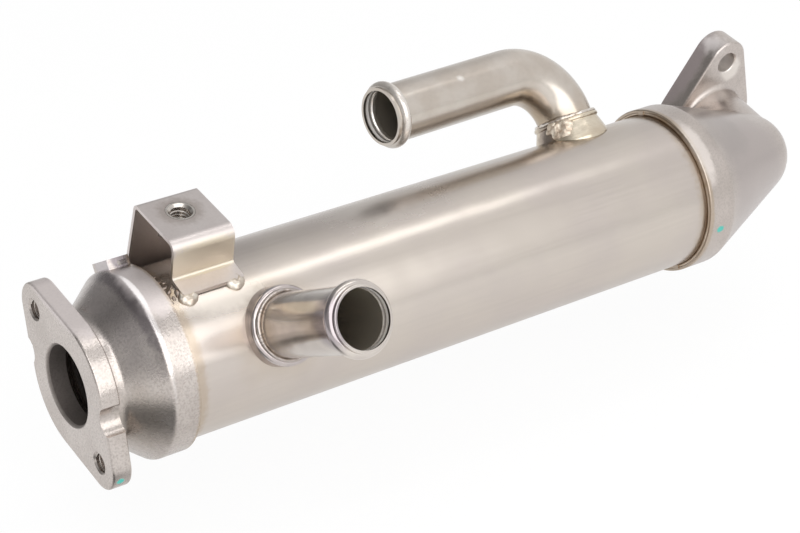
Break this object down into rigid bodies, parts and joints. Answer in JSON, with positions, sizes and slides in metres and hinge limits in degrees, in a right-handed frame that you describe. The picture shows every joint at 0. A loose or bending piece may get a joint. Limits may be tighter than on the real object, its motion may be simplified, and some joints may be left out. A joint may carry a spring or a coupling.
{
  "type": "egr cooler",
  "caption": "Stainless shell-and-tube exhaust gas cooler with cast flanged gas ends, a straight and a bent coolant pipe with beaded mouths, and a pressed bracket with a weld nut.",
  "frame": {"origin": "centre of the gas bore on the inlet flange's face, which is the centre of its two bolts", "axes": "+X along the shell from the inlet flange to the outlet end, +Y the way the outlet flange faces, +Z out through the top of the mounting bracket"},
  "size_m": [0.33, 0.119, 0.0935],
  "materials": {
    "cast_stainless": "fine matte shot-blasted casting",
    "shell_stainless": "satin drawn tube with faint heat tint",
    "bundle_stainless": "dull furnace-brazed steel",
    "pipe_stainless": "smooth satin tube",
    "collar_stainless": "turned, with heat tint",
    "weld_metal": "bright rippled weld",
    "braze_metal": "smooth brown braze",
    "bracket_stainless": "matte satin pressed sheet",
    "nut_steel": "machined"
  },
  "bodies": {
    "root": {"inlet_casting": "cast_stainless", "outlet_casting": "cast_stainless", "shell_tube": "shell_stainless", "inlet_tube_sheet": "bundle_stainless", "outlet_tube_sheet": "bundle_stainless", "baffle_1": "bundle_stainless", "baffle_2": "bundle_stainless", "baffle_3": "bundle_stainless", "gas_tube_01": "bundle_stainless", "gas_tube_02": "bundle_stainless", "gas_tube_03": "bundle_stainless", "gas_tube_04": "bundle_stainless", "gas_tube_05": "bundle_stainless", "gas_tube_06": "bundle_stainless", "gas_tube_07": "bundle_stainless", "gas_tube_08": "bundle_stainless", "gas_tube_09": "bundle_stainless", "gas_tube_10": "bundle_stainless", "gas_tube_11": "bundle_stainless", "gas_tube_12": "bundle_stainless", "gas_tube_13": "bundle_stainless", "gas_tube_14": "bundle_stainless", "gas_tube_15": "bundle_stainless", "gas_tube_16": "bundle_stainless", "gas_tube_17": "bundle_stainless", "gas_tube_18": "bundle_stainless", "gas_tube_19": "bundle_stainless", "straight_coolant_pipe": "pipe_stainless", "bent_coolant_pipe": "pipe_stainless", "straight_pipe_collar": "collar_stainless", "bent_pipe_collar": "collar_stainless", "straight_pipe_weld": "weld_metal", "bent_pipe_weld": "weld_metal", "bracket_tack_welds": "weld_metal", "inlet_braze_ring": "braze_metal", "outlet_braze_ring": "braze_metal", "mounting_bracket": "bracket_stainless", "weld_nut": "nut_steel"}
  },
  "joints": []
}
